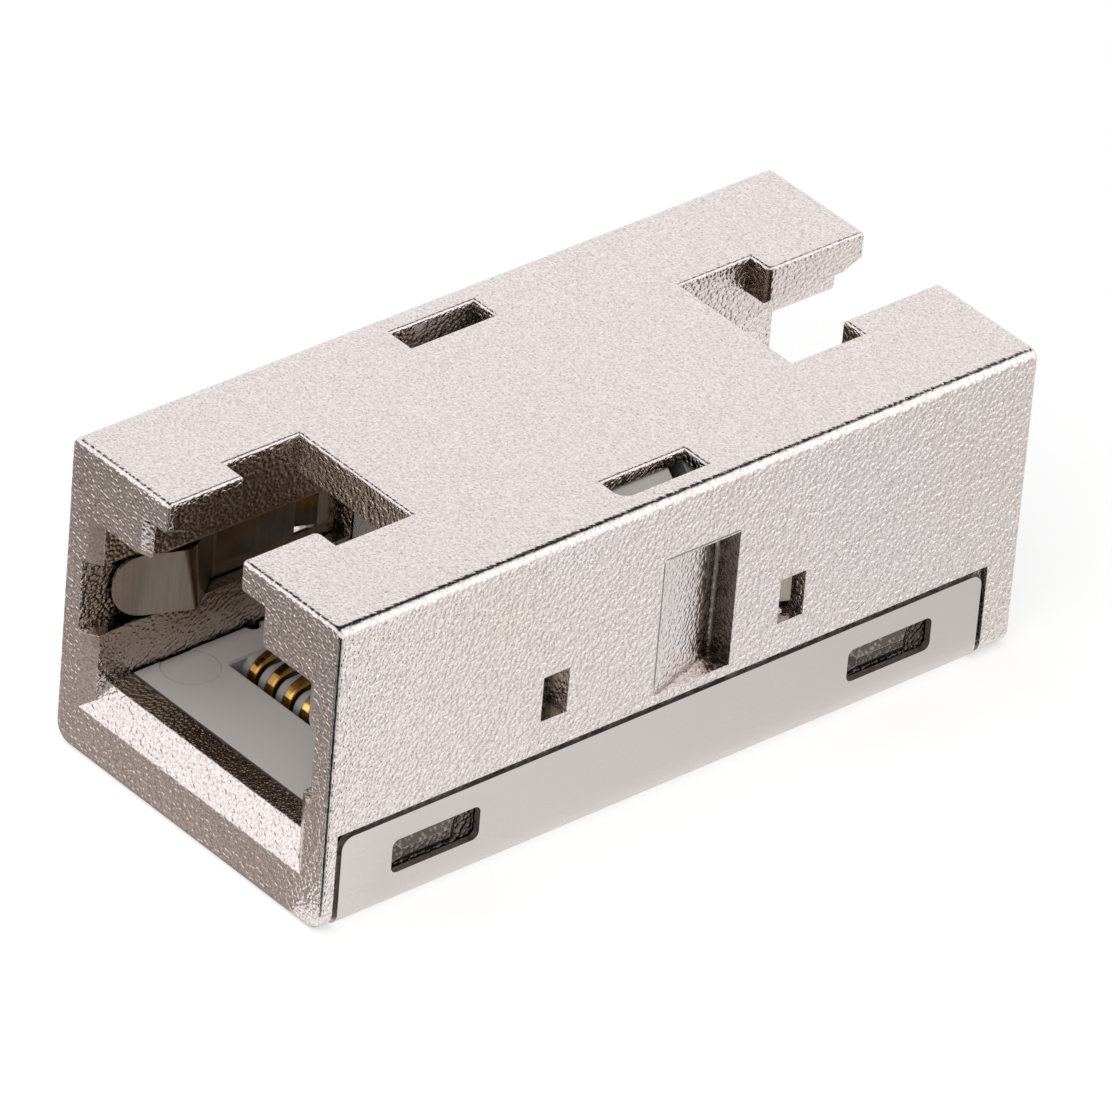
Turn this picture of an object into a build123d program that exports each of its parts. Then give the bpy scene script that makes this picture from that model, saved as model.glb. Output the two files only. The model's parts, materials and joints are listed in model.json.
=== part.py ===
from build123d import *
import os

# Shielded inline coupler for two eight-contact plugs, latches up at both ends.
# X is the width, Y the length with the front port at -Y, and Z is up. The origin is the middle of
# the bottom. The core is the two ports and the block between them. It is the same when it is turned
# half round, and the housing is a little longer behind it.

# Ports, seen from the end
port_width = 11.9
port_height = 7.05
port_depth = 12.2
latch_width = 6.4
latch_height = 1.5
mouth_width = 4.24

# Walls and the stack from the bottom up
side_wall = 1.8
top_wall = 1.6
cover_thickness = 0.3
tail_space = 0.65
board_thickness = 0.8
floor_plate = 1.35

# Lengths along the object
core_length = 8.2
rear_extra = 0.9
sill_length = 1.93
slot_length = 3.5
slot_inset = 3.47
top_shift = 0.2

# Lead-in round each port
lead_in_depth = 0.35
lead_in_side = 0.55
lead_in_roof = 0.2
sill_slope_depth = 0.87
sill_slope_drop = 1.1
latch_lead_in_side = 0.36
latch_lead_in_roof = 0.38
latch_lead_in_depth = 1.0

# Channels for the shield springs
rail_height = 2.18
channel_height = 3.1
channel_depth = 0.8

# Upper hollow of the middle, under the thin roof with the two top slots
roof_thickness = 0.55
hollow_height = 2.1
hollow_depth = 0.7
hollow_inset = 0.4
vent_length = 4.0
vent_width = 1.22
vent_corner = 0.5

# Windows and wedge-shaped hollows in the sides
window_length = 1.25
window_height = 1.95
window_reach = 5.7
window_rise = 3.43
wedge_length = 3.64
wedge_height = 5.9
wedge_depth = 1.22
wedge_start = 0.8
wedge_rise = 1.5
wedge_round = 0.15
wedge_step = 0.05

# Folded cover
cover_height = 3.93
cover_bend = 0.65
cover_corner = 0.5
cover_gap = 0.25
cover_fit = 0.05
cover_front_inset = 0.81
cover_rear_inset = 1.75
snap_length = 4.15
snap_height = 1.45
snap_rise = 1.46
snap_reach = 10.98
snap_corner = 0.3
barb_length = 3.15
barb_height = 1.2
barb_shift = 0.4
barb_rise = 0.27
barb_slope_angle = 58

# Edges of the casting
top_edge_round = 0.4
bottom_edge_round = 0.8
end_edge_round = 0.2
slot_edge_round = 0.12
ledge_bevel = 0.15
ledge_corner_round = 0.3
step_round = 0.25

# Contacts and the comb that spaces them
contact_count = 8
contact_pitch = 1.016
contact_width = 0.4
contact_thickness = 0.3
contact_front = 5.7
contact_bend = 0.8
bend_drop = 0.55
contact_rise_angle = 20
contact_hold = 0.3
contact_jog = 1.25
contact_lift = 0.25
rib_width = 0.4
rib_nose = 0.68
rib_stand = 0.1
comb_gap = 0.45
comb_tail = 1.2
groove_width = 0.5
groove_height = 0.6
groove_spare = 0.1
web_height = 0.5

# Moulded carriers
carrier_fit = 0.1
block_fit = 0.05
block_tongue = 1.1
block_gap = 0.7
block_split = 0.1
block_edge = 0.55
guide_depth = 0.6
guide_rise = 0.2
guide_height = 3.0
guide_width = 0.6
foot_diameter = 1.2
foot_inset = 1.0
foot_front = 4.0
foot_rear = 12.9
foot_sides = 8
foot_hole_fit = 0.1
mould_mark_diameter = 2.3
mould_mark_depth = 0.03
notch_radius = 0.32
notch_setback = 7.65

# Circuit board
board_fit = 0.15
tail_hole = 0.64
hole_sides = 8

# Shield springs
spring_thickness = 0.15
spring_rise = 0.07
spring_tip_in = 0.08
spring_height = 2.65
spring_tip = 1.3
spring_crest = 4.45
spring_crest_out = 0.68
spring_crest_bend = 0.3
spring_high_crest = 4.16
spring_high_bend = 0.8
spring_heel = 6.1
spring_heel_bend = 0.6
spring_end_gap = 0.3
spring_tip_round = 1.25
tang_length = 1.0
tang_height = 1.3
tang_out = 0.4
tang_inset = 0.12
tang_kerf = 0.1

# Outer size, worked out from the values above
width = port_width + 2 * side_wall
length = 2 * port_depth + core_length + rear_extra
front_y = -length / 2
rear_y = length / 2
core_y = front_y + port_depth + core_length / 2

# Heights of the stack
board_low = cover_thickness + tail_space
board_high = board_low + board_thickness
port_floor = board_high + floor_plate
port_roof = port_floor + port_height
latch_roof = port_roof + latch_height
height = latch_roof + top_wall
channel_low = port_floor + rail_height
channel_high = channel_low + channel_height
roof_low = height - roof_thickness
hollow_low = roof_low - hollow_height

# Half widths and wall planes
port_half = port_width / 2
latch_half = latch_width / 2
mouth_half = mouth_width / 2
wall_x = width / 2
channel_x = port_half + channel_depth
hollow_x = port_half + hollow_depth
pocket_x = wall_x - cover_thickness - cover_fit
core_reach = core_length / 2 + port_depth
top_y = core_y - top_shift
slot_reach = core_reach - top_shift - slot_inset
snap_z = snap_rise + snap_height / 2
window_z = port_floor + window_rise
window_front = core_y - window_reach - window_length / 2
cover_front = front_y + cover_front_inset
cover_rear = rear_y - cover_rear_inset

# Feet of the carrier
foot_reach = port_half - foot_inset
foot_y = front_y + foot_front

# Contact wire, measured from the front of the port
wire_run = contact_front + contact_thickness / 2
contact_xs = [(i - (contact_count - 1) / 2) * contact_pitch for i in range(contact_count)]
rib_xs = [(i - contact_count / 2) * contact_pitch for i in range(contact_count + 1)]
comb_half = rib_xs[-1] + rib_width / 2
comb_front = front_y + contact_front - comb_gap
comb_rear = front_y + port_depth - comb_tail
wire_y = front_y + wire_run
bend_z = port_floor - bend_drop
block_front = front_y + port_depth + carrier_fit
block_top = roof_low - block_fit

turn_axis = Axis((0, core_y, 0), (0, 0, 1))
tiny = 0.001
past = 1
os.makedirs("parts", exist_ok=True)


def across(y):
    """Plane square to the length at y, with sketch axes X and Z. It extrudes towards the front."""
    return Plane(origin=(0, y, 0), x_dir=(1, 0, 0), z_dir=(0, -1, 0))


def lengthwise(x):
    """Plane along the length at x, with sketch axes Y and Z. It extrudes towards +X."""
    return Plane(origin=(x, 0, 0), x_dir=(0, 1, 0), z_dir=(1, 0, 0))


def block(x_low, x_high, y_low, y_high, z_low, z_high, mode=Mode.ADD):
    """Rectangular block between two corners, joined to the part that is being built."""
    with Locations(((x_low + x_high) / 2, (y_low + y_high) / 2, (z_low + z_high) / 2)):
        Box(x_high - x_low, y_high - y_low, z_high - z_low, mode=mode)


def on_end_outline(edge):
    """True for an edge of the outer outline at the front or at the rear."""
    box = edge.bounding_box()
    at_end = box.max.Y < front_y + tiny or box.min.Y > rear_y - tiny
    at_side = abs(box.center().X) > (channel_x + wall_x) / 2
    return at_end and (at_side or box.min.Z > height - tiny or box.max.Z < tiny)


def on_slot_edge(edge):
    """True for an edge of a slot in the top."""
    box = edge.bounding_box()
    reach = rear_y - end_edge_round
    at_end = box.max.Y < tiny - reach or box.min.Y > reach - tiny
    inside = abs(box.center().X) < (channel_x + wall_x) / 2
    return box.min.Z > height - tiny and inside and not at_end


def on_ledge_corner(edge):
    """True for the upright edge on the right of a mouth, seen from its end, at its wide slot."""
    centre = edge.center()
    at_mouth = abs(abs(centre.X) - mouth_half) < tiny
    at_slot = abs(abs(centre.Y - top_y) - slot_reach) < tiny
    return at_mouth and at_slot and centre.X * (top_y - centre.Y) > 0


def rectangle_between(half, low, high, mode=Mode.ADD):
    """Rectangle centred on the width, between two heights, in a sketch across the length."""
    with Locations((0, (low + high) / 2)):
        Rectangle(2 * half, high - low, mode=mode)


def corners_at(section, half, level):
    """The two corners of a sketch across the length that lie at a half width and a height."""
    return section.vertices().filter_by(
        lambda v: abs(abs(v.X) - half) < tiny and abs(v.Y - level) < tiny
    )


def flare_section(y, half, low, high, latch, roof):
    """Whole outline of an opening in the plane across the length at y, with soft steps and ledges."""
    with BuildSketch(across(y)) as section:
        rectangle_between(half, low, high)
        rectangle_between(latch, low, roof)
        rectangle_between(mouth_half, low, height + past)
        fillet(corners_at(section, latch, high), step_round)
        chamfer(corners_at(section, mouth_half, roof), ledge_bevel)
    return section.sketch


def port_section(y, low):
    """Section of the port above the slope of its sill, in the plane across the length at y."""
    with BuildSketch(across(y)) as section:
        rectangle_between(port_half, low, port_roof)
    return section.sketch


def latch_section(y, roof):
    """Section of the latch channel with the mouth over it, its ledges bevelled below."""
    with BuildSketch(across(y)) as section:
        rectangle_between(latch_half, port_roof - latch_height, roof)
        rectangle_between(mouth_half, port_roof, height + past)
        chamfer(corners_at(section, mouth_half, roof), ledge_bevel)
    return section.sketch


def cut_port(mouth_y, inward):
    """One port with its spring channels, latch channel, mouth and lead-in. Inward is 1 or -1."""
    depth = port_depth if inward > 0 else port_depth + rear_extra
    back_y = mouth_y + inward * depth
    with BuildSketch(across(max(mouth_y, back_y))) as stepped:
        rectangle_between(port_half, port_floor, port_roof)
        rectangle_between(latch_half, port_floor, latch_roof)
        fillet(corners_at(stepped, latch_half, port_roof), step_round)
        rectangle_between(channel_x, channel_low, channel_high)
    extrude(stepped.sketch, amount=depth, mode=Mode.SUBTRACT)

    # Flare round the whole opening
    flare_y = mouth_y + inward * lead_in_depth
    flare_low = port_floor - sill_slope_drop * (1 - lead_in_depth / sill_slope_depth)
    flare_roof = latch_roof + latch_lead_in_roof * (1 - lead_in_depth / latch_lead_in_depth)
    outer = flare_section(
        mouth_y,
        port_half + lead_in_side,
        port_floor - sill_slope_drop,
        port_roof + lead_in_roof,
        latch_half + latch_lead_in_side,
        latch_roof + latch_lead_in_roof,
    )
    inner = flare_section(flare_y, port_half, flare_low, port_roof, latch_half, flare_roof)
    loft([outer, inner], ruled=True, mode=Mode.SUBTRACT)

    # Slopes of the sill and of the latch channel's roof, which reach further in
    slope_y = mouth_y + inward * sill_slope_depth
    sections = [port_section(flare_y, flare_low), port_section(slope_y, port_floor)]
    loft(sections, ruled=True, mode=Mode.SUBTRACT)
    straight_y = mouth_y + inward * latch_lead_in_depth
    sections = [latch_section(flare_y, flare_roof), latch_section(straight_y, latch_roof)]
    loft(sections, ruled=True, mode=Mode.SUBTRACT)

    # Straight run of the latch channel to the wide slot
    slot_y = top_y - inward * slot_reach
    straight = latch_section(max(straight_y, slot_y), latch_roof)
    extrude(straight, amount=abs(slot_y - straight_y), mode=Mode.SUBTRACT)
    low_y, high_y = sorted((slot_y, slot_y + inward * slot_length))
    block(-latch_half, latch_half, low_y, high_y, port_roof, height + past, Mode.SUBTRACT)


def cut_side(turn):
    """Windows and wedge-shaped hollow of one side. Turn is 1 for +X and -1 for -X."""
    for end in (-1, 1):
        y = core_y + turn * end * window_reach
        low_x, high_x = sorted((turn * port_half, turn * (wall_x + past)))
        block(
            low_x,
            high_x,
            y - window_length / 2,
            y + window_length / 2,
            window_z - window_height / 2,
            window_z + window_height / 2,
            Mode.SUBTRACT,
        )
    shallow_y = core_y - turn * wedge_start
    deep_y = shallow_y + turn * wedge_length
    with BuildSketch(Plane.XY.offset(port_floor + wedge_rise)) as wedge:
        with BuildLine():
            Polyline(
                (turn * (wall_x - wedge_step), shallow_y),
                (turn * (wall_x - wedge_depth), deep_y),
                (turn * (wall_x + past), deep_y),
                (turn * (wall_x + past), shallow_y),
                close=True,
            )
        make_face()
        deepest = wedge.vertices().sort_by(lambda v: abs(v.X))[0]
        fillet(deepest, wedge_round)
    extrude(wedge.sketch, amount=wedge_height, mode=Mode.SUBTRACT)


with BuildPart() as housing:
    # Solid block with its long edges rounded
    with BuildSketch(across(rear_y)) as outline:
        rectangle_between(wall_x, 0, height)
        fillet(outline.vertices().group_by(Axis.Y)[0], bottom_edge_round)
        fillet(outline.vertices().group_by(Axis.Y)[-1], top_edge_round)
    extrude(amount=length)

    # Pocket that takes the cover, round a core with rounded lower edges
    pocket_top = cover_height + cover_gap
    pocket_low = cover_thickness + cover_fit
    with BuildSketch(across(cover_rear + cover_gap)) as pocket:
        rectangle_between(wall_x + past, -past, pocket_top)
        rectangle_between(pocket_x, pocket_low, pocket_top + past, Mode.SUBTRACT)
        fillet(corners_at(pocket, pocket_x, pocket_low), cover_bend - cover_thickness)
    extrude(amount=cover_rear - cover_front + 2 * cover_gap, mode=Mode.SUBTRACT)

    # Open bottom between the two sills, and the tall middle with its wider hollow
    sill_reach = core_reach - sill_length
    block(
        -port_half, port_half, core_y - sill_reach, core_y + sill_reach, -past, port_floor, Mode.SUBTRACT
    )
    half_core = core_length / 2
    block(
        -port_half, port_half, core_y - half_core, core_y + half_core, -past, roof_low, Mode.SUBTRACT
    )
    half_hollow = half_core - hollow_inset
    block(
        -hollow_x,
        hollow_x,
        core_y - half_hollow,
        core_y + half_hollow,
        hollow_low,
        roof_low,
        Mode.SUBTRACT,
    )

    cut_port(front_y, 1)
    cut_port(rear_y, -1)
    cut_side(1)
    cut_side(-1)

    # Top slots, flush outside with the hollow. The front outer corner of the +X one is round
    for side in (-1, 1):
        vent_x = side * (hollow_x - vent_width / 2)
        with BuildSketch(Plane.XY.offset(roof_low - past)) as vent:
            with Locations((vent_x, top_y)):
                Rectangle(vent_width, vent_length)
            if side > 0:
                fillet(vent.vertices().group_by(Axis.Y)[0].sort_by(Axis.X)[-1], vent_corner)
        extrude(amount=roof_thickness + 2 * past, mode=Mode.SUBTRACT)

    # Barbs that the cover's windows snap over
    for side in (-1, 1):
        for end in (-1, 1):
            barb_y = core_y + end * snap_reach - side * barb_shift
            barb_plane = Plane(
                origin=(side * pocket_x, barb_y, snap_z),
                x_dir=(0, 1, 0),
                z_dir=(side, 0, 0),
            )
            with BuildSketch(barb_plane):
                Rectangle(barb_length, barb_height)
            extrude(amount=barb_rise, taper=barb_slope_angle)

    # Rounded ledge corners, rounded outline at both ends, then softer edges round the top slots
    fillet(housing.edges().filter_by(Axis.Z).filter_by(on_ledge_corner), ledge_corner_round)
    fillet(housing.edges().filter_by(on_end_outline), end_edge_round)
    fillet(housing.edges().filter_by(on_slot_edge), slot_edge_round)
housing.part.label = "housing"
export_step(housing.part, "parts/housing.step")


with BuildPart() as bottom_cover:
    # One sheet folded up at both sides
    with BuildSketch(across(cover_rear)) as folded:
        rectangle_between(wall_x, 0, cover_height)
        fillet(folded.vertices().group_by(Axis.Y)[0], cover_bend)
        inside = wall_x - cover_thickness
        rectangle_between(inside, cover_thickness, cover_height + past, Mode.SUBTRACT)
        inner_bends = folded.vertices().filter_by(lambda v: abs(v.Y - cover_thickness) < tiny)
        fillet(inner_bends, cover_bend - cover_thickness)
    extrude(amount=cover_rear - cover_front)
    corners = bottom_cover.edges().filter_by(Axis.X).group_by(Axis.Z)[-1]
    fillet(corners, cover_corner)

    # Windows that snap over the barbs
    with BuildSketch(lengthwise(-wall_x - past)):
        with Locations(*[(core_y + end * snap_reach, snap_z) for end in (-1, 1)]):
            RectangleRounded(snap_length, snap_height, snap_corner)
    extrude(amount=width + 2 * past, mode=Mode.SUBTRACT)
bottom_cover.part.label = "bottom_cover"
export_step(bottom_cover.part, "parts/bottom_cover.step")


# Where each wire goes through the board, in the front half
tails = [(x, wire_y - (i % 2) * contact_jog) for i, x in enumerate(contact_xs)]
feet = [(side * foot_reach, foot_y) for side in (-1, 1)]
feet.append((0, front_y + foot_rear))

with BuildPart() as circuit_board:
    board_reach = core_reach - sill_length - board_fit
    half_width = port_half - board_fit
    block(
        -half_width,
        half_width,
        core_y - board_reach,
        core_y + board_reach,
        board_low,
        board_high,
    )
    for turn in (-1, 1):
        with BuildSketch(Plane.XY.offset(board_low)):
            with Locations(*[(-turn * x, core_y - turn * (y - core_y)) for x, y in tails]):
                RegularPolygon(tail_hole / 2, hole_sides)
            with Locations(*[(-turn * x, core_y - turn * (y - core_y)) for x, y in feet]):
                foot_hole = foot_diameter + foot_hole_fit
                RegularPolygon(foot_hole / 2, foot_sides, major_radius=False)
        extrude(amount=board_thickness, mode=Mode.SUBTRACT)
circuit_board.part.label = "circuit_board"
export_step(circuit_board.part, "parts/circuit_board.step")


with BuildPart() as contact_carrier_front:
    # Floor of the port
    plate_half = port_half - carrier_fit
    plate_front = front_y + sill_length + carrier_fit
    block(-plate_half, plate_half, plate_front, block_front, board_high, port_floor)

    # Upright block, longer on its +X half
    block_half = port_half - block_fit
    with BuildSketch(Plane.XY.offset(board_high)):
        with BuildLine():
            Polyline(
                (-block_half, block_front),
                (block_half, block_front),
                (block_half, core_y + block_tongue),
                (block_split, core_y + block_tongue),
                (block_split, core_y - block_tongue - block_gap),
                (-block_half, core_y - block_tongue - block_gap),
                close=True,
            )
        make_face()
    extrude(amount=block_top - board_high)
    top_edges = contact_carrier_front.edges().filter_by(Axis.Y).group_by(Axis.Z)[-1]
    chamfer(top_edges.sort_by(Axis.X)[0], block_edge)
    top_edges = contact_carrier_front.edges().filter_by(Axis.Y).group_by(Axis.Z)[-1]
    chamfer(top_edges.sort_by(Axis.X)[-1], block_edge)

    # Round moulding marks over the feet, and a notch in each edge of the floor
    with BuildSketch(Plane.XY.offset(port_floor)):
        with Locations((-foot_reach, foot_y), (foot_reach, foot_y)):
            Circle(mould_mark_diameter / 2)
    extrude(amount=-mould_mark_depth, mode=Mode.SUBTRACT)
    with BuildSketch(Plane.XY.offset(board_high)):
        notch_y = front_y + notch_setback
        with Locations((-plate_half, notch_y), (plate_half, notch_y)):
            Circle(notch_radius)
    extrude(amount=floor_plate, mode=Mode.SUBTRACT)

    # Opening of the comb, its web and its ribs
    block(-comb_half, comb_half, comb_front, comb_rear, board_high, port_floor, Mode.SUBTRACT)
    web_front = wire_y + contact_thickness / 2
    block(-comb_half, comb_half, web_front, comb_rear, board_high, board_high + web_height)
    for x in rib_xs:
        with BuildSketch(lengthwise(x - rib_width / 2)):
            nose_y = wire_y + rib_nose
            nose_z = port_floor + rib_stand - rib_nose
            with Locations((nose_y, nose_z)):
                Circle(rib_nose)
            rib_top = port_floor + rib_stand
            with Locations(((nose_y + comb_rear) / 2, (board_high + rib_top) / 2)):
                Rectangle(comb_rear - nose_y, rib_top - board_high)
        extrude(amount=rib_width)

    # Grooves under the floor for the wires that step forward
    for x, y in tails:
        if y < wire_y:
            low_y = y - contact_thickness / 2 - groove_spare
            half = groove_width / 2
            top = board_high + groove_height
            block(x - half, x + half, low_y, comb_front, board_high, top, Mode.SUBTRACT)

    # Slots that guide the ends of the wires
    for x in contact_xs:
        half = guide_width / 2
        low = port_floor + guide_rise
        back = block_front + guide_depth
        block(x - half, x + half, block_front, back, low, low + guide_height, Mode.SUBTRACT)

    # Feet that stand on the cover
    with BuildSketch(Plane.XY.offset(cover_thickness)):
        with Locations(*feet):
            RegularPolygon(foot_diameter / 2, foot_sides, major_radius=False)
    extrude(amount=board_high - cover_thickness)
contact_carrier_front.part.label = "contact_carrier_front"
export_step(contact_carrier_front.part, "parts/contact_carrier_front.step")

with BuildPart() as contact_carrier_rear:
    add(contact_carrier_front.part.rotate(turn_axis, 180))
contact_carrier_rear.part.label = "contact_carrier_rear"
export_step(contact_carrier_rear.part, "parts/contact_carrier_rear.step")


# Wires, numbered from the side that is on the left of a person who looks into the port
for i, (x, tail_y) in enumerate(tails):
    with BuildPart() as contact_front_wire:
        tail_z = cover_thickness + contact_lift
        with BuildLine(lengthwise(x)) as run:
            if tail_y < wire_y:
                step_z = board_high + contact_hold
                Polyline((tail_y, tail_z), (tail_y, step_z), (wire_y, step_z), (wire_y, bend_z))
            else:
                Line((wire_y, tail_z), (wire_y, bend_z))
            turned = 90 - contact_rise_angle
            bend = CenterArc((wire_y + contact_bend, bend_z), contact_bend, 180, -turned)
            rise_end = block_front + contact_hold
            PolarLine(
                bend @ 1,
                rise_end - (bend @ 1).Y,
                contact_rise_angle,
                length_mode=LengthMode.HORIZONTAL,
            )
        with BuildSketch(Plane.XY.offset(tail_z)):
            with Locations((x, tail_y)):
                Rectangle(contact_width, contact_thickness)
        sweep(transition=Transition.RIGHT)
    contact_front_wire.part.label = f"contact_front_{i + 1}"
    export_step(contact_front_wire.part, f"parts/contact_front_{i + 1}.step")
    with BuildPart() as contact_rear_wire:
        add(contact_front_wire.part.rotate(turn_axis, 180))
    contact_rear_wire.part.label = f"contact_rear_{i + 1}"
    export_step(contact_rear_wire.part, f"parts/contact_rear_{i + 1}.step")


# Shield spring of the +X side, from the round tip over the crest and the heel to the straight tail.
# Its crest is sharper at the bottom than at the top, so it leans forward
spring_x = channel_x - spring_thickness
spring_end = front_y + port_depth - spring_end_gap
spring_low = channel_low + spring_rise
spring_slope = (spring_x - spring_tip_in - port_half + spring_crest_out) / (spring_crest - spring_tip)


def spring_section(z, crest, crest_bend):
    """Strip of the leaf at a height, with its crest at a distance from the front of the port."""
    lean = (spring_crest - crest) * spring_slope
    with BuildSketch(Plane.XY.offset(z)) as section:
        with BuildLine():
            with BuildLine() as run:
                Polyline(
                    (spring_x - spring_tip_in, front_y + spring_tip),
                    (port_half - spring_crest_out + lean, front_y + crest),
                    (spring_x, front_y + spring_heel),
                    (spring_x, spring_end),
                )
                bends = run.vertices().sort_by(Axis.Y)
                fillet(bends[1], crest_bend)
                fillet(bends[2], spring_heel_bend)
            offset(run.line, amount=spring_thickness, side=Side.RIGHT)
        make_face()
    return section.sketch


with BuildPart() as shield_spring_front_right:
    low_section = spring_section(spring_low, spring_crest, spring_crest_bend)
    high_section = spring_section(spring_low + spring_height, spring_high_crest, spring_high_bend)
    loft([low_section, high_section], ruled=True)
    tip = shield_spring_front_right.edges().filter_by(lambda e: e.length < 2 * spring_thickness)
    fillet(tip.group_by(Axis.Y)[0], spring_tip_round)

    # Tang cut free on three sides and bent out into the window
    hinge = window_front + window_length - tang_inset
    free = hinge - tang_length
    tang_low = window_z - tang_height / 2
    cut_low = tang_low - tang_kerf
    cut_high = tang_low + tang_height + tang_kerf
    block(port_half, wall_x, free - tang_kerf, hinge, cut_low, cut_high, Mode.SUBTRACT)
    with BuildSketch(Plane.XY.offset(tang_low)):
        with BuildLine():
            Polyline(
                (spring_x, hinge),
                (spring_x + tang_out, free),
                (spring_x + spring_thickness + tang_out, free),
                (spring_x + spring_thickness, hinge),
                close=True,
            )
        make_face()
    extrude(amount=tang_height)
shield_spring_front_right.part.label = "shield_spring_front_right"
export_step(shield_spring_front_right.part, "parts/shield_spring_front_right.step")

with BuildPart() as shield_spring_front_left:
    mirror(shield_spring_front_right.part, about=Plane.YZ)
shield_spring_front_left.part.label = "shield_spring_front_left"
export_step(shield_spring_front_left.part, "parts/shield_spring_front_left.step")

with BuildPart() as shield_spring_rear_left:
    add(shield_spring_front_right.part.rotate(turn_axis, 180))
shield_spring_rear_left.part.label = "shield_spring_rear_left"
export_step(shield_spring_rear_left.part, "parts/shield_spring_rear_left.step")

with BuildPart() as shield_spring_rear_right:
    add(shield_spring_front_left.part.rotate(turn_axis, 180))
shield_spring_rear_right.part.label = "shield_spring_rear_right"
export_step(shield_spring_rear_right.part, "parts/shield_spring_rear_right.step")
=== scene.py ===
import json
import math

import bpy
from mathutils import Matrix, Vector


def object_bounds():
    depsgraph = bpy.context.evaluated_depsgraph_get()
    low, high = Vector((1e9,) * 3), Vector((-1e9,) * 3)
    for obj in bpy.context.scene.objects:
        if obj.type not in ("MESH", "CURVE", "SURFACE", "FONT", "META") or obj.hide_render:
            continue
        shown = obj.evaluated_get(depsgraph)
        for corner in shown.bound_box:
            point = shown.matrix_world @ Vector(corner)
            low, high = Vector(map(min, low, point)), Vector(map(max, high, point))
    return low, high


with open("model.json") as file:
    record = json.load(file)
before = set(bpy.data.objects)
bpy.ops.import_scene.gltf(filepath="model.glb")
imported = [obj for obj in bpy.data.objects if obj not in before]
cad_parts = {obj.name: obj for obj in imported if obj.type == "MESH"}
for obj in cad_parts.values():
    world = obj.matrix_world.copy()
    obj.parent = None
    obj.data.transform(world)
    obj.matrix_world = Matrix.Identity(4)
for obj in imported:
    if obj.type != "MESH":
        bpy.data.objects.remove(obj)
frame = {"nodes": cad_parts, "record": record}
cad_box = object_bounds()

# All sizes are in metres, and one millimetre is a thousandth
MM = 0.001

# Photograph: the lens's direction and distance, its tilt, and the point that it looks at
PHOTO_PIXELS = 1112
FOCAL_PIXELS = 12570
SENSOR_WIDTH = 36
CLIP_START = 10 * MM
AZIMUTH = math.radians(47.299)
ELEVATION = math.radians(33.459)
TILT = math.radians(4.894)
LENS_DISTANCE = 465 * MM
LENS_TARGET = Vector((0.477, 0, 6.277)) * MM

# Middle of the core along the length
CORE_Y = -0.45 * MM

# Each pair, here and below, is a ramp: a value starts to change at the first place and ends at the second
# Share of the normal along an axis that makes a face count as square to it
SQUARE = (0.9, 0.95)
QUITE_SQUARE = (0.93, 0.99)

# Faces behind the outer skin, which start further in low down, behind the slope of the sill
INNER_SIDE = (6.95 * MM, 6.7 * MM)
INNER_FRONT = (-16.7 * MM, -16.3 * MM)
INNER_REAR = (16.6 * MM, 16.4 * MM)
INNER_TOP = (13.15 * MM, 12.9 * MM)
SILL_BACK = (3.0 * MM, 5.0 * MM)
SILL_SHIFT = -0.8 * MM
SILL_TOP = (5.5 * MM, 4.5 * MM)
SILL_SIDE = (6.3 * MM, 6.1 * MM)
FRONT_PORT_END = (6 * MM, 2 * MM)
REAR_PORT_START = (5 * MM, 6 * MM)
# Heights where the painted brown shade inside grows above the sill, and where it lessens near the top
INTERIOR_SHADE_FROM_SILL = (3.2 * MM, 4.5 * MM)
INTERIOR_SHADE_TO_TOP = (8 * MM, 9.5 * MM)

# Wedge-shaped hollows of the sides: places across, along from the core's middle, and up
HOLLOW_SKIN = (7.76 * MM, 7.75 * MM)
HOLLOW_BELOW_SKIN = (7.73 * MM, 7.71 * MM)
HOLLOW_BOTTOM = (6.5 * MM, 6.51 * MM)
HOLLOW_MIDDLE = 1.02 * MM
HOLLOW_REACH = (1.92 * MM, 1.9 * MM)
HOLLOW_ROOF = (10.6 * MM, 10.55 * MM)
HOLLOW_SLOPE = (-0.8 * MM, 2.4 * MM)
HOLLOW_RISE = 0.8 * MM
HOLLOW_SHADE = (2.4 * MM, 2.75 * MM)
HOLLOW_END_WALL = (2.7 * MM, 2.8 * MM)
PEBBLE_LEAD = 0.5 * MM

# Thin dark line along the start and the roof of the hollows
EDGE_LINE = (0.05 * MM, 0.02 * MM)
START_LINE_Y = -0.84 * MM
START_LINE_TOP = (10.5 * MM, 10.45 * MM)
ROOF_LINE_Z = 10.58 * MM
ROOF_LINE_REACH = (1.8 * MM, 1.75 * MM)
LINE_FOOT = (4.6 * MM, 5.2 * MM)

# Barbs that the cover's windows snap over
BARB_BOTTOM = (7.3 * MM, 7.31 * MM)
BARB_TOP = (7.72 * MM, 7.71 * MM)
BARB_REACH = (14.6 * MM, 14.5 * MM)
BARB_HEIGHT = (3.6 * MM, 3.5 * MM)

# Radius of the casting's edges, which is larger on the upright edges of the ends
LEAST_RADIUS = 0.05 * MM
MOST_RADIUS = 0.09 * MM
END_EDGE_EXTRA = 0.06 * MM
END_EDGE_Y = (16.3 * MM, 16.5 * MM)
END_EDGE_X = (7.3 * MM, 7.5 * MM)
END_EDGE_TOP = (13 * MM, 12.8 * MM)

# Radius of the edges of wires and plastic
WIRE_RADIUS = 0.14 * MM
PLASTIC_RADIUS = 0.06 * MM

# Comb of the front port, and the faces where the two carriers meet, which get painted shade
COMB_SIDE = (4.45 * MM, 4.4 * MM)
COMB_START = (-11.5 * MM, -11.4 * MM)
COMB_END = (-5 * MM, -5.1 * MM)
JOINT_REACH = (2.0 * MM, 1.9 * MM)

# How far painted shade reaches into corners
CORNER_REACH = 0.6 * MM
PLASTIC_REACH = 0.7 * MM
SPRING_REACH = 1.5 * MM

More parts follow.
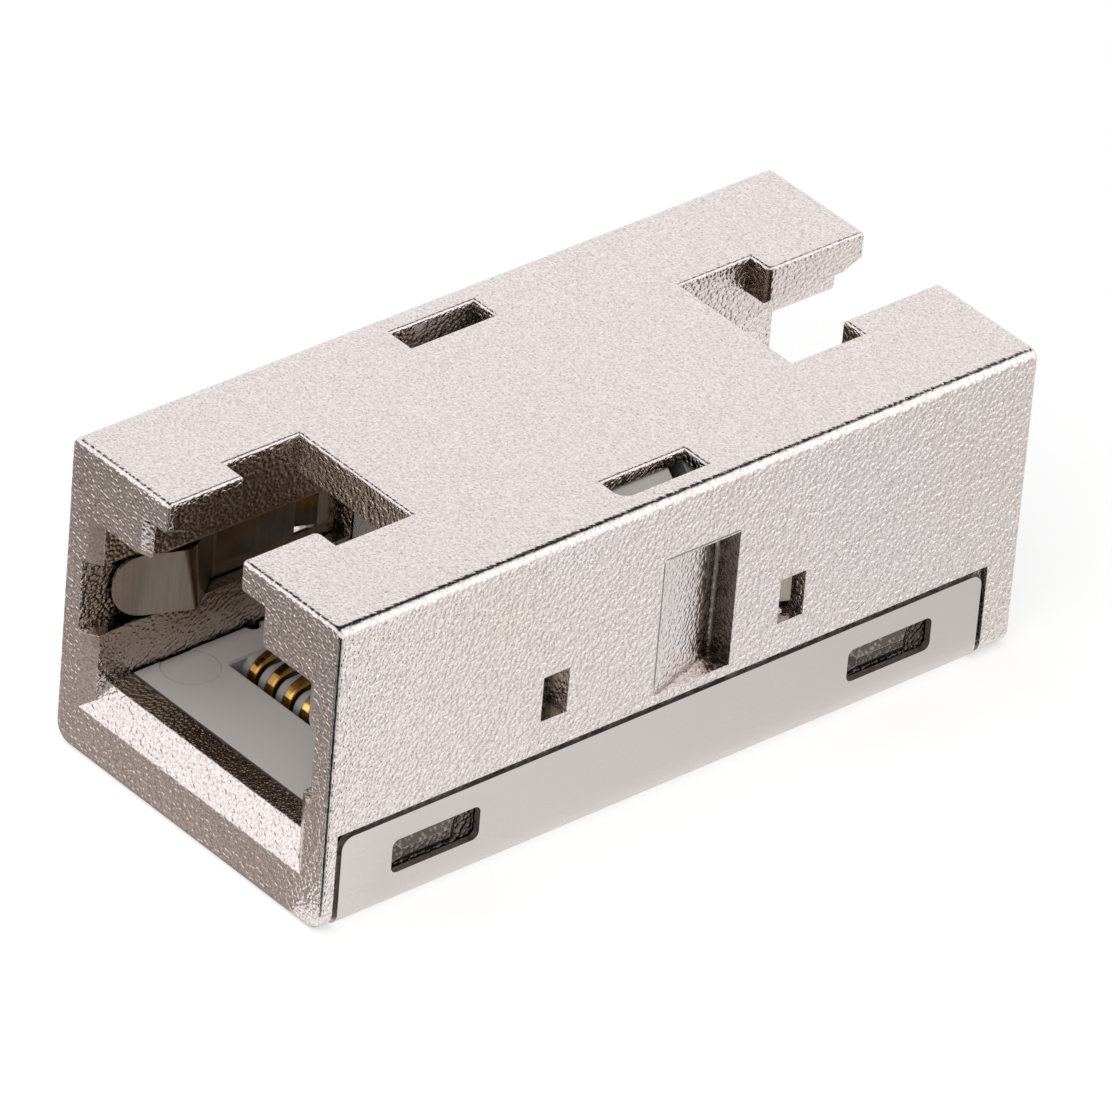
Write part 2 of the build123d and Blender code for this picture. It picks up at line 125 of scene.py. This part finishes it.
# Patterns, in cells or blobs for each metre, and how the lines of rolled metal are stretched
EDGE_WAVES = 1500
PEBBLES = 5000
FINE_GRAIN = 10000
NICKEL_TONES = 9000
NICKEL_PATCHES = 200
NICKEL_SPECKS = 11000
ROLLED_LINES = 1000
SHEET_STRETCH = (9, 0.5, 9)
SPRING_STRETCH = (8, 8, 0.4)
SHEET_TONES = 300
WIRE_TONES = 2500
PLASTIC_GRAIN = 3000
PLASTIC_TONES = 150
BOARD_WEAVE = 1800

# Depth of relief
PEBBLE_DEPTH = 0.065 * MM
FINE_DEPTH = 0.004 * MM
SPRING_DEPTH = 0.003 * MM

# Nickel plating
PALE_NICKEL = (0.94, 0.86, 0.845)
WARM_NICKEL = (0.94, 0.835, 0.765)
DULL_NICKEL = (0.67, 0.60, 0.58)
NICKEL_SPECK = (0.40, 0.35, 0.33)
# Painted shade: brown inside, dark on the barbs, and dark in corners and hollows
INSIDE_SHADE_NICKEL = (0.54, 0.45, 0.38)
BARB_SHADE_NICKEL = (0.085, 0.07, 0.06)
CORNER_SHADE_NICKEL = (0.09, 0.075, 0.068)

# Other materials
SHEET_COLORS = (0.67, 0.615, 0.59), (0.64, 0.595, 0.575)
# Spring colours darkened as painted shade of the dark inside that the leaf mirrors, and painted shade in
# its hidden corners
SPRING_SHADED_COLORS = (0.30, 0.26, 0.22), (0.54, 0.48, 0.41)
SPRING_SHADE = (0.08, 0.06, 0.05)
GOLD_COLORS = (0.90, 0.53, 0.15), (0.98, 0.66, 0.24)
# Painted shade in the corners of the wires
GOLD_SHADE = (0.12, 0.05, 0.015)
PLASTIC_COLORS = (0.81, 0.765, 0.745), (0.85, 0.805, 0.785)
# Painted shade of the comb, and of the gaps and joints of the plastic
COMB_SHADE_COLOR = (0.36, 0.37, 0.40)
PLASTIC_SHADE = (0.14, 0.13, 0.13)
BOARD_COLORS = (0.02, 0.12, 0.05), (0.03, 0.17, 0.07)

# Light that the world throws on surfaces, where 1 is white
WORLD_LIGHT = 0.35

# Lamps: direction, distance, size and radiance
OVERHEAD_LAMP = (-0.2, -0.4, 1), 0.5, 0.5, 0.85
FRONT_LAMP = (0.6, -0.9, 0.85), 0.5, 0.3, 1.6

# Floor: its shade, what it gives of itself to the eye over the light that it scatters,
# half its width, and how far it lies below the object
FLOOR_SHADE = (0.7, 0.7, 0.7)
FLOOR_GLOW = 0.6
FLOOR_REACH = 3
FLOOR_DROP = 0.02 * MM

# Cards that the metal mirrors: heights, outlines and fades in millimetres, and shades where 1 is white
CEILING_HEIGHT = 200
CEILING_OUTLINE = [(24, 200), (-120, 165), (-170, 70), (-175, -80), (24, -160), (120, -60), (24, 60)]
NEARLY_BLACK = 0.02
FLOOR_CARD_HEIGHT = 0.1
FRONT_OUTLINE = [(-150, -150), (6, -150), (6, -16), (-150, -16)]
FRONT_SHADE = 0.43
FRONT_FADE = (-17.5, -45, 0.12)
FRONT_COLOR = (1, 0.88, 0.8)
CORNER_OUTLINE = [(7.9, -17.2), (9, -150), (150, -50)]
SIDE_OUTLINE = [(8.5, -14), (150, 120), (150, 150), (8.5, 150)]
SIDE_SHADE = 0.92
SIDE_FADE = (-5, 25, 0.76)

# Bright boxes: direction, distance and size in millimetres, and their shade
BACK_BOX = (0.55, 0.57, 0.45), 250, 200
BACK_BOX_SHADE = 1.4
FRONT_BOX = (-0.61, -0.68, 0.38), 250, 180
FRONT_BOX_SHADE = 1.2


def node_tree(material):
    """Node tree of a material with its default nodes taken out, and a fresh output."""
    material.use_nodes = True
    tree = material.node_tree
    tree.nodes.clear()
    output = tree.nodes.new("ShaderNodeOutputMaterial")
    return tree, output


class Recipe:
    """Short forms for the nodes of one material."""

    def __init__(self, name):
        self.material = bpy.data.materials.new(name)
        self.tree, self.output = node_tree(self.material)
        self.place = self.node("ShaderNodeTexCoord").outputs["Object"]

    def link(self, source, target):
        self.tree.links.new(source, target)

    def feed(self, socket, value):
        """Links a socket to another one, or sets it to a number or a colour."""
        if isinstance(value, (int, float)):
            socket.default_value = value
        elif isinstance(value, tuple):
            socket.default_value = (*value, 1)
        else:
            self.link(value, socket)

    def node(self, kind, **settings):
        made = self.tree.nodes.new(kind)
        for key, value in settings.items():
            setattr(made, key, value)
        return made

    def parts(self, vector):
        """The three components of a vector."""
        split = self.node("ShaderNodeSeparateXYZ")
        self.link(vector, split.inputs["Vector"])
        return [split.outputs[axis] for axis in "XYZ"]

    def noise(self, scale, detail=2, roughness=0.5, place=None):
        """Cloudy pattern from 0 to 1 whose blobs are about one over scale across."""
        made = self.node("ShaderNodeTexNoise")
        made.inputs["Scale"].default_value = scale
        made.inputs["Detail"].default_value = detail
        made.inputs["Roughness"].default_value = roughness
        self.link(self.place if place is None else place, made.inputs["Vector"])
        return made.outputs["Fac"]

    def rolled_lines(self, stretch):
        """Faint lines of rolled metal, finer along the axes with the larger stretch."""
        mapping = self.node("ShaderNodeMapping")
        mapping.inputs["Scale"].default_value = [ROLLED_LINES * share for share in stretch]
        self.link(self.place, mapping.inputs["Vector"])
        return self.noise(1, detail=3, place=mapping.outputs["Vector"])

    def cells(self, scale):
        """Distance to the nearest of many scattered points."""
        made = self.node("ShaderNodeTexVoronoi")
        made.inputs["Scale"].default_value = scale
        self.link(self.place, made.inputs["Vector"])
        return made.outputs["Distance"]

    def band(self, source, low, high, start=0, end=1):
        """The source's values from low to high carried to start to end, and held there."""
        made = self.node("ShaderNodeMapRange")
        made.inputs["From Min"].default_value = low
        made.inputs["From Max"].default_value = high
        made.inputs["To Min"].default_value = start
        made.inputs["To Max"].default_value = end
        self.link(source, made.inputs["Value"])
        return made.outputs["Result"]

    def maths(self, operation, *values):
        made = self.node("ShaderNodeMath", operation=operation)
        for socket, value in zip(made.inputs, values):
            self.feed(socket, value)
        return made.outputs["Value"]

    def in_turn(self, operation, first, *others):
        """One operation over two or more values."""
        for other in others:
            first = self.maths(operation, first, other)
        return first

    def product(self, *masks):
        return self.in_turn("MULTIPLY", *masks)

    def largest(self, *masks):
        return self.in_turn("MAXIMUM", *masks)

    def distance(self, source, value):
        """How far the source is from a value, either way."""
        return self.maths("ABSOLUTE", self.maths("SUBTRACT", source, value))

    def blend(self, factor, first, second):
        """Mixes two colours, each a tuple or a socket."""
        made = self.node("ShaderNodeMix", data_type="RGBA")
        for name, value in (("Factor", factor), ("A", first), ("B", second)):
            socket = [s for s in made.inputs if s.name == name and s.enabled][0]
            self.feed(socket, value)
        return [s for s in made.outputs if s.enabled][0]

    def soft_edges(self, radius):
        """Normal that rounds every sharp edge by the radius, a number or a socket."""
        made = self.node("ShaderNodeBevel", samples=4)
        self.feed(made.inputs["Radius"], radius)
        return made.outputs["Normal"]

    def sharp_edges(self, softened):
        """1 along sharp edges, where the softened normal leaves the true one, and 0 elsewhere."""
        made = self.node("ShaderNodeVectorMath", operation="DOT_PRODUCT")
        self.link(softened, made.inputs[0])
        self.link(self.node("ShaderNodeNewGeometry").outputs["True Normal"], made.inputs[1])
        return self.band(made.outputs["Value"], 0.97, 0.85)

    def shadow(self, reach, dark_below, clear_above, depth):
        """The depth in corners and cavities of about the given reach, and 0 on open surfaces."""
        made = self.node("ShaderNodeAmbientOcclusion", samples=6)
        made.inputs["Distance"].default_value = reach
        return self.band(made.outputs["AO"], dark_below, clear_above, depth, 0)

    def relief(self, height, depth, strength=1, base=None):
        """Bump of the given depth in metres."""
        made = self.node("ShaderNodeBump")
        made.inputs["Strength"].default_value = strength
        made.inputs["Distance"].default_value = depth
        self.link(height, made.inputs["Height"])
        if base is not None:
            self.link(base, made.inputs["Normal"])
        return made.outputs["Normal"]

    def finish(self, color, roughness, normal, metallic=1.0):
        """Principled surface from the given colour, roughness and relief."""
        shader = self.node("ShaderNodeBsdfPrincipled")
        self.feed(shader.inputs["Base Color"], color)
        self.feed(shader.inputs["Roughness"], roughness)
        self.feed(shader.inputs["Normal"], normal)
        self.feed(shader.inputs["Metallic"], metallic)
        self.link(shader.outputs["BSDF"], self.output.inputs["Surface"])
        return self.material


class PlacedRecipe(Recipe):
    """Recipe with the places and the directions that masks use."""

    def __init__(self, name):
        super().__init__(name)
        self.x, self.y, self.z = self.parts(self.place)
        self.aside = self.maths("ABSOLUTE", self.x)
        self.from_core = self.maths("SUBTRACT", self.y, CORE_Y)
        normal = self.parts(self.place.node.outputs["Normal"])
        self.across = self.maths("ABSOLUTE", normal[0])
        self.along = self.maths("ABSOLUTE", normal[1])


def inner_faces(r):
    """1 on the faces behind the outer skin, and 0 on the skin.

    At the front it begins just behind the end face, and further in low down, behind the sill's slope.
    """
    inward = r.maths("ADD", r.y, r.band(r.z, *SILL_BACK, SILL_SHIFT, 0))
    ends = r.product(r.band(inward, *INNER_FRONT), r.band(r.y, *INNER_REAR))
    return r.product(r.band(r.aside, *INNER_SIDE), ends, r.band(r.z, *INNER_TOP))


def painted_interior_shade(r, inner):
    """1 where brown shade is painted, less at the sill and near the top.

    That is inside the front port, and on all inner walls that stand across the length.
    """
    place = r.largest(r.band(r.y, *FRONT_PORT_END), r.band(r.along, *SQUARE))
    low = r.band(r.z, *INTERIOR_SHADE_FROM_SILL, 0.45, 1)
    high = r.band(r.z, *INTERIOR_SHADE_TO_TOP, 1, 0.6)
    return r.product(inner, place, low, high)


def side_hollow(r):
    """Mask of the wedge-shaped hollows of the sides, the way in along them, and their edge line."""
    inward = r.product(r.maths("SIGN", r.x), r.from_core)
    reach = r.distance(inward, HOLLOW_MIDDLE)
    depth = r.product(r.band(r.aside, *HOLLOW_SKIN), r.band(r.aside, *HOLLOW_BOTTOM))
    below = r.band(r.aside, *HOLLOW_BELOW_SKIN)
    mask = r.product(depth, r.band(reach, *HOLLOW_REACH), r.band(r.z, *HOLLOW_ROOF), below)
    start = r.band(r.distance(inward, START_LINE_Y), *EDGE_LINE)
    start = r.product(start, r.band(r.z, *START_LINE_TOP))
    roof = r.band(r.distance(r.z, ROOF_LINE_Z), *EDGE_LINE)
    roof = r.product(roof, r.band(reach, *ROOF_LINE_REACH))
    line = r.product(depth, r.band(r.z, *LINE_FOOT), r.largest(start, roof))
    return mask, inward, line


def barbs(r):
    """1 on the barbs that the cover's windows snap over, and round them."""
    depth = r.product(r.band(r.aside, *BARB_BOTTOM), r.band(r.aside, *BARB_TOP))
    reach = r.maths("ABSOLUTE", r.from_core)
    return r.product(depth, r.band(reach, *BARB_REACH), r.band(r.z, *BARB_HEIGHT))


def edge_radius(r):
    """Radius of sharp edges: wavy, and larger on the upright edges of the ends."""
    wave = r.band(r.noise(EDGE_WAVES), 0.3, 0.7, LEAST_RADIUS, MOST_RADIUS)
    upright = r.band(r.maths("ABSOLUTE", r.y), *END_EDGE_Y)
    upright = r.product(upright, r.band(r.aside, *END_EDGE_X), r.band(r.z, *END_EDGE_TOP))
    return r.maths("ADD", wave, r.product(upright, END_EDGE_EXTRA))


def casting_height(r, pebbles, inner, end_wall):
    """Height of the casting's skin: pebbly on the sides and ends, faint on the top, calmer inside."""
    sides = r.band(r.across, *QUITE_SQUARE, 0.1, 1)
    ends = r.band(r.along, *QUITE_SQUARE, 0.1, 0.75)
    sill = r.product(r.band(r.z, *SILL_TOP, 0, 0.4), r.band(r.aside, *SILL_SIDE))
    smoother = r.largest(r.band(r.across, *SQUARE), r.band(r.y, *REAR_PORT_START))
    smoother = r.largest(r.product(inner, smoother), end_wall)
    rugged = r.product(r.largest(sides, ends, sill), r.band(smoother, 0, 1, 1, 0.45))
    grain = r.band(r.noise(FINE_GRAIN, roughness=0.6), 0, 1, -0.12, 0.12)
    return r.product(r.maths("ADD", pebbles, grain), rugged)


def nickel(r):
    """Colour of the nickel: mottled, with specks, and slow warm patches on the sides."""
    tone = r.band(r.noise(NICKEL_TONES, detail=3, roughness=0.7), 0.36, 0.64)
    patch = r.product(r.band(r.noise(NICKEL_PATCHES), 0.4, 0.7), r.across)
    base = r.blend(tone, DULL_NICKEL, r.blend(patch, PALE_NICKEL, WARM_NICKEL))
    speck = r.band(r.noise(NICKEL_SPECKS), 0.60, 0.68, 0, 0.75)
    return r.blend(speck, base, NICKEL_SPECK)


def hollow_shade(r, hollow, inward, edge_line, pebbles):
    """Painted shade of the hollows towards their deep end, where pebbles lead, and the dark edge line."""
    lead = r.maths("ADD", inward, r.band(pebbles, -0.5, 0.5, PEBBLE_LEAD, -PEBBLE_LEAD))
    floor = r.product(hollow, r.band(lead, *HOLLOW_SHADE, 0, 0.9))
    end_wall = r.product(hollow, r.band(inward, *HOLLOW_END_WALL, 0, 0.9))
    return r.largest(floor, end_wall, r.product(edge_line, 0.75))


def plated_casting():
    """Nickel over a shot-blasted zinc casting: pebbly, smoother on the top, with painted shade: brown
    deep inside, dark on the barbs, in corners and in the hollows.
    """
    r = PlacedRecipe("plated_casting")
    inner = inner_faces(r)
    hollow, inward, edge_line = side_hollow(r)
    end_wall = r.product(hollow, r.band(inward, *HOLLOW_END_WALL))
    cell = r.cells(PEBBLES)
    pebbles = r.band(r.product(cell, cell), 0, 0.5, 0.5, -0.5)
    height = casting_height(r, pebbles, inner, end_wall)

    # The floor of the hollows is shaded as if it were level, up to its deep end
    soft = r.soft_edges(edge_radius(r))
    level_floor = r.product(hollow, r.band(inward, *HOLLOW_SLOPE, 0, HOLLOW_RISE))
    normal = r.relief(height, PEBBLE_DEPTH, base=r.relief(level_floor, 1, base=soft))

    # Painted shade: brown inside and dark on the barbs, less so on crests and along edges, and dark in
    # corners and hollows
    faces = r.band(r.sharp_edges(soft), 0, 1, 1, 0)
    brown = r.product(painted_interior_shade(r, inner), r.band(pebbles, 0.3, 0.45, 1, 0.7), faces)
    base = r.blend(brown, nickel(r), INSIDE_SHADE_NICKEL)
    # Painted shade on the barbs, which lie in shadow behind the cover's windows, slightly less on pebble
    # crests
    barb_shade = r.product(barbs(r), faces, r.band(pebbles, 0.1, 0.4, 1, 0.85))
    base = r.blend(barb_shade, base, BARB_SHADE_NICKEL)
    dark = hollow_shade(r, hollow, inward, edge_line, pebbles)
    dark = r.largest(dark, r.shadow(CORNER_REACH, 0.3, 0.7, 0.9))
    base = r.blend(dark, base, CORNER_SHADE_NICKEL)
    return r.finish(base, roughness=0.14, normal=normal)


def plated_sheet():
    """Smooth nickel-plated sheet with the faint lines of rolling along its length."""
    r = Recipe("plated_sheet")
    lines = r.rolled_lines(SHEET_STRETCH)
    base = r.blend(r.noise(SHEET_TONES), *SHEET_COLORS)
    roughness = r.band(lines, 0.3, 0.7, 0.26, 0.36)
    return r.finish(base, roughness, r.relief(lines, FINE_DEPTH, 0.6))


def spring_leaf():
    """Rolled strip, its faint lines across the length of the leaf, its colours darkened as painted shade
    of the dark inside that it mirrors, and more painted shade where it is hidden.
    """
    r = Recipe("spring_leaf")
    lines = r.rolled_lines(SPRING_STRETCH)
    base = r.blend(lines, *SPRING_SHADED_COLORS)
    base = r.blend(r.shadow(SPRING_REACH, 0.15, 0.5, 0.9), base, SPRING_SHADE)
    return r.finish(base, roughness=0.2, normal=r.relief(lines, SPRING_DEPTH, 0.5))


def gilt_wire():
    """Hard gold plate, nearly a mirror, with rolled edges, and painted shade in corners."""
    r = Recipe("gilt_wire")
    base = r.blend(r.noise(WIRE_TONES), *GOLD_COLORS)
    base = r.blend(r.shadow(CORNER_REACH, 0.3, 0.8, 0.8), base, GOLD_SHADE)
    return r.finish(base, roughness=0.1, normal=r.soft_edges(WIRE_RADIUS))


def white_moulding():
    """Matte white plastic, faintly warm, with painted shade: greyer on the comb and dark in its gaps and
    joints.
    """
    r = PlacedRecipe("white_moulding")
    grain = r.noise(PLASTIC_GRAIN)
    normal = r.relief(grain, FINE_DEPTH, 0.4, r.soft_edges(PLASTIC_RADIUS))
    base = r.blend(r.noise(PLASTIC_TONES), *PLASTIC_COLORS)
    # Painted shade: greyer on the comb, dark where the carriers meet and in gaps
    comb = r.product(r.band(r.aside, *COMB_SIDE), r.band(r.y, *COMB_START, 0, 0.45))
    base = r.blend(r.product(comb, r.band(r.y, *COMB_END)), base, COMB_SHADE_COLOR)
    middle = r.maths("ABSOLUTE", r.from_core)
    joint_shade = r.product(r.band(r.along, *SQUARE, 0, 0.85), r.band(middle, *JOINT_REACH))
    gap_shade = r.largest(joint_shade, r.shadow(PLASTIC_REACH, 0.35, 0.9, 0.85))
    base = r.blend(gap_shade, base, PLASTIC_SHADE)
    return r.finish(base, r.band(grain, 0.3, 0.7, 0.38, 0.5), normal, metallic=0.0)


def board():
    """Green solder mask with a faint weave."""
    r = Recipe("board")
    weave = r.noise(BOARD_WEAVE, detail=1)
    base = r.blend(weave, *BOARD_COLORS)
    return r.finish(base, roughness=0.35, normal=r.relief(weave, FINE_DEPTH, 0.4), metallic=0.0)


def dress(node, material):
    """Gives a CAD node its material."""
    slots = frame["nodes"][node].material_slots
    for slot in slots:
        slot.material = material
    if not slots:
        frame["nodes"][node].data.materials.append(material)


def dress_nodes():
    makers = (plated_casting, plated_sheet, spring_leaf, gilt_wire, white_moulding, board)
    materials = {maker.__name__: maker() for maker in makers}
    for entry in frame["record"]["subparts"]:
        dress(entry["node"], materials[entry["material_slot"]])


def photo_camera():
    """Camera that sees the object as the photograph does, tilted about its line of sight."""
    back = Vector(
        (
            math.sin(AZIMUTH) * math.cos(ELEVATION),
            -math.cos(AZIMUTH) * math.cos(ELEVATION),
            math.sin(ELEVATION),
        )
    )
    right = (-back).cross(Vector((0, 0, 1))).normalized()
    up = right.cross(-back)
    right, up = (
        right * math.cos(TILT) + up * math.sin(TILT),
        up * math.cos(TILT) - right * math.sin(TILT),
    )
    lens = bpy.data.cameras.new("photo_camera")
    lens.sensor_width = SENSOR_WIDTH
    lens.lens = FOCAL_PIXELS / PHOTO_PIXELS * SENSOR_WIDTH
    lens.clip_start = CLIP_START
    camera = bpy.data.objects.new("photo_camera", lens)
    turn = Matrix((right, up, back)).transposed().to_4x4()
    camera.matrix_world = Matrix.Translation(LENS_TARGET + back * LENS_DISTANCE) @ turn
    bpy.context.collection.objects.link(camera)
    bpy.context.scene.camera = camera


def soft_lamp(name, direction, distance, size, radiance):
    """Square soft lamp that looks at the object from a direction. It doesn't show in reflections."""
    light = bpy.data.lights.new(name, "AREA")
    light.shape = "SQUARE"
    light.size = size
    light.energy = radiance * math.pi * size**2
    lamp = bpy.data.objects.new(name, light)
    away = Vector(direction).normalized()
    lamp.location = away * distance
    lamp.rotation_euler = away.to_track_quat("Z", "Y").to_euler()
    lamp.visible_glossy = False
    bpy.context.collection.objects.link(lamp)


def seen_directly(tree):
    """1 for the camera, in reflections and through glass, and 0 for the light that falls."""
    path = tree.nodes.new("ShaderNodeLightPath")
    seen = path.outputs["Is Camera Ray"]
    for name in ("Is Glossy Ray", "Is Transmission Ray"):
        larger = tree.nodes.new("ShaderNodeMath")
        larger.operation = "MAXIMUM"
        tree.links.new(seen, larger.inputs[0])
        tree.links.new(path.outputs[name], larger.inputs[1])
        seen = larger.outputs[0]
    return seen


def ranged(tree, source, start, end, low=0, high=1):
    """Carries low and high to start and end."""
    carry = tree.nodes.new("ShaderNodeMapRange")
    carry.inputs["From Min"].default_value = low
    carry.inputs["From Max"].default_value = high
    carry.inputs["To Min"].default_value = start
    carry.inputs["To Max"].default_value = end
    tree.links.new(source, carry.inputs["Value"])
    return carry.outputs["Result"]


def pale_world():
    """World that is white to the eye and in reflections, and throws less light than that."""
    world = bpy.data.worlds.new("pale_world")
    bpy.context.scene.world = world
    world.use_nodes = True
    tree = world.node_tree
    tree.nodes.clear()
    output = tree.nodes.new("ShaderNodeOutputWorld")
    background = tree.nodes.new("ShaderNodeBackground")
    background.inputs["Color"].default_value = (1, 1, 1, 1)
    tree.links.new(ranged(tree, seen_directly(tree), WORLD_LIGHT, 1), background.inputs["Strength"])
    tree.links.new(background.outputs[0], output.inputs[0])


def flat_sheet(name, corners, material):
    """One flat sheet with any number of corners, part of the studio."""
    mesh = bpy.data.meshes.new(name)
    mesh.from_pydata([list(corner) for corner in corners], [], [tuple(range(len(corners)))])
    mesh.materials.append(material)
    sheet = bpy.data.objects.new(name, mesh)
    bpy.context.collection.objects.link(sheet)
    return sheet


def pale_floor():
    """Floor that takes the object's shadow and is otherwise nearly white to the eye."""
    material = bpy.data.materials.new("pale_floor")
    tree, output = node_tree(material)
    diffuse = tree.nodes.new("ShaderNodeBsdfDiffuse")
    diffuse.inputs["Color"].default_value = (*FLOOR_SHADE, 1)
    glow = tree.nodes.new("ShaderNodeEmission")
    tree.links.new(ranged(tree, seen_directly(tree), 0, FLOOR_GLOW), glow.inputs["Strength"])
    both = tree.nodes.new("ShaderNodeAddShader")
    tree.links.new(diffuse.outputs[0], both.inputs[0])
    tree.links.new(glow.outputs[0], both.inputs[1])
    tree.links.new(both.outputs[0], output.inputs["Surface"])
    z = cad_box[0][2] - FLOOR_DROP
    signs = ((-1, -1), (1, -1), (1, 1), (-1, 1))
    flat_sheet("floor", [(x * FLOOR_REACH, y * FLOOR_REACH, z) for x, y in signs], material)


def level(height, outline):
    """Corners in millimetres of a level card from its outline."""
    return [(x, y, height) for x, y in outline]


def facing_square(direction, distance, size):
    """Corners in millimetres of a square that faces the object from a direction."""
    away = Vector(direction).normalized()
    side = away.cross(Vector((0, 0, 1))).normalized() * size / 2
    rise = side.cross(away).normalized() * size / 2
    middle = away * distance
    return [middle - side - rise, middle + side - rise, middle + side + rise, middle - side + rise]


def card(name, corners, shade, fade=None, color=(1, 1, 1)):
    """Card that shows only in reflections. It fades along Y between two places to another shade."""
    material = bpy.data.materials.new(name)
    tree, output = node_tree(material)
    glow = tree.nodes.new("ShaderNodeEmission")
    glow.inputs["Strength"].default_value = shade
    glow.inputs["Color"].default_value = (*color, 1)
    if fade is not None:
        start, end, last_shade = fade
        place = tree.nodes.new("ShaderNodeTexCoord")
        split = tree.nodes.new("ShaderNodeSeparateXYZ")
        tree.links.new(place.outputs["Object"], split.inputs["Vector"])
        faded = ranged(tree, split.outputs["Y"], shade, last_shade, start * MM, end * MM)
        tree.links.new(faded, glow.inputs["Strength"])
    tree.links.new(glow.outputs[0], output.inputs["Surface"])
    sheet = flat_sheet(name, [Vector(corner) * MM for corner in corners], material)
    sheet.visible_camera = False
    sheet.visible_diffuse = False
    sheet.visible_shadow = False
    sheet.visible_transmission = False


def studio():
    """Pale world, pale floor, soft lamps and the cards that the metal mirrors."""
    pale_world()
    pale_floor()
    soft_lamp("overhead_lamp", *OVERHEAD_LAMP)
    soft_lamp("front_lamp", *FRONT_LAMP)
    card("ceiling_card", level(CEILING_HEIGHT, CEILING_OUTLINE), NEARLY_BLACK)
    front = level(FLOOR_CARD_HEIGHT, FRONT_OUTLINE)
    card("front_card", front, FRONT_SHADE, FRONT_FADE, FRONT_COLOR)
    card("corner_card", level(FLOOR_CARD_HEIGHT, CORNER_OUTLINE), NEARLY_BLACK)
    card("side_card", level(FLOOR_CARD_HEIGHT, SIDE_OUTLINE), SIDE_SHADE, SIDE_FADE)
    card("back_box", facing_square(*BACK_BOX), BACK_BOX_SHADE)
    card("front_box", facing_square(*FRONT_BOX), FRONT_BOX_SHADE)
    bpy.context.scene.view_settings.view_transform = "Standard"


dress_nodes()
photo_camera()
studio()
